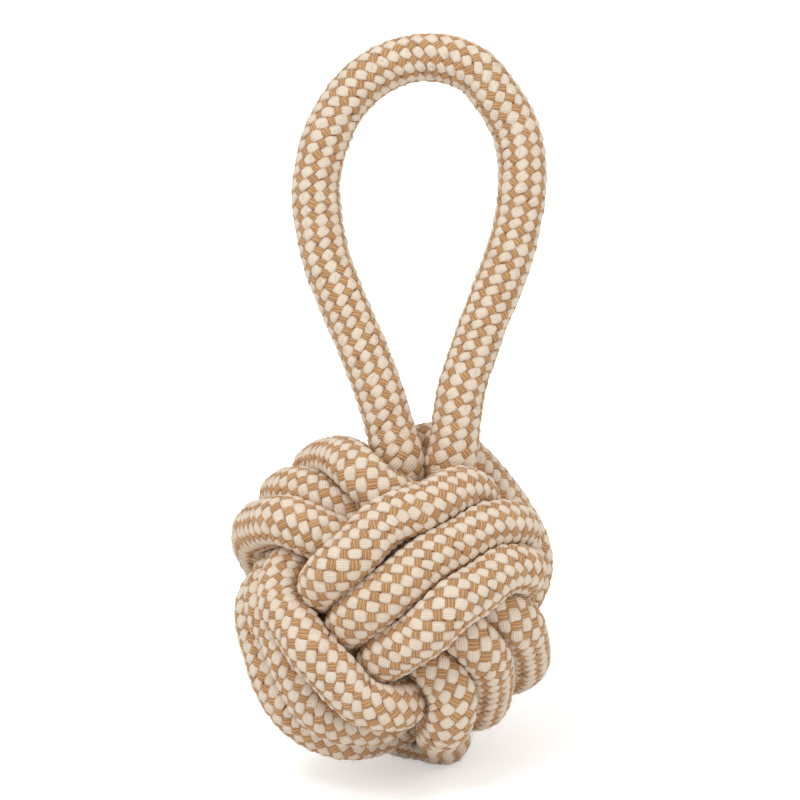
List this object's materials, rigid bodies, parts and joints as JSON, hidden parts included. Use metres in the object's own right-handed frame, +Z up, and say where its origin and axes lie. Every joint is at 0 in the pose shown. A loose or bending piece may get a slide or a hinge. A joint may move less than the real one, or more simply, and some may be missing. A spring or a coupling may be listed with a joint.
{
  "type": "rope dog toy",
  "caption": "Ball-shaped rope dog toy for tugging and throwing: braided rope wound in crossing bands round a core ball, with a loop of the same rope as a handle on top.",
  "frame": {"origin": "the middle of the whole toy's box at its foot, on the floor under the knot", "axes": "+Z up as the toy stands on its knot, +X to the right and -Y towards the viewer"},
  "size_m": [0.1178, 0.1142, 0.2346],
  "materials": {
    "core": "matt moulded rubber, hidden inside the knot",
    "knot_rope": "cotton braid of cream and tan strands, matt and slightly fuzzy",
    "handle_rope": "cotton braid of cream and tan strands, matt and slightly fuzzy"
  },
  "bodies": {
    "knot": {"core_ball": "core", "first_winding": "knot_rope", "second_winding": "knot_rope", "third_winding": "knot_rope", "right_leg_tuck": "knot_rope", "left_leg_tuck": "knot_rope", "right_leg_root": "handle_rope", "left_leg_root": "handle_rope"},
    "handle": {"handle_loop": "handle_rope"}
  },
  "joints": [
    {"name": "handle_lean", "type": "hinge", "parent": "knot", "child": "handle", "pos_m": [0.0087, -0.00427, 0.11486], "axis": [0.9925, 0, -0.1219], "range_deg": [-60, 90], "stiffness_Nm_per_rad": 0.2, "deforming": ["right_leg_root", "left_leg_root"]}
  ]
}
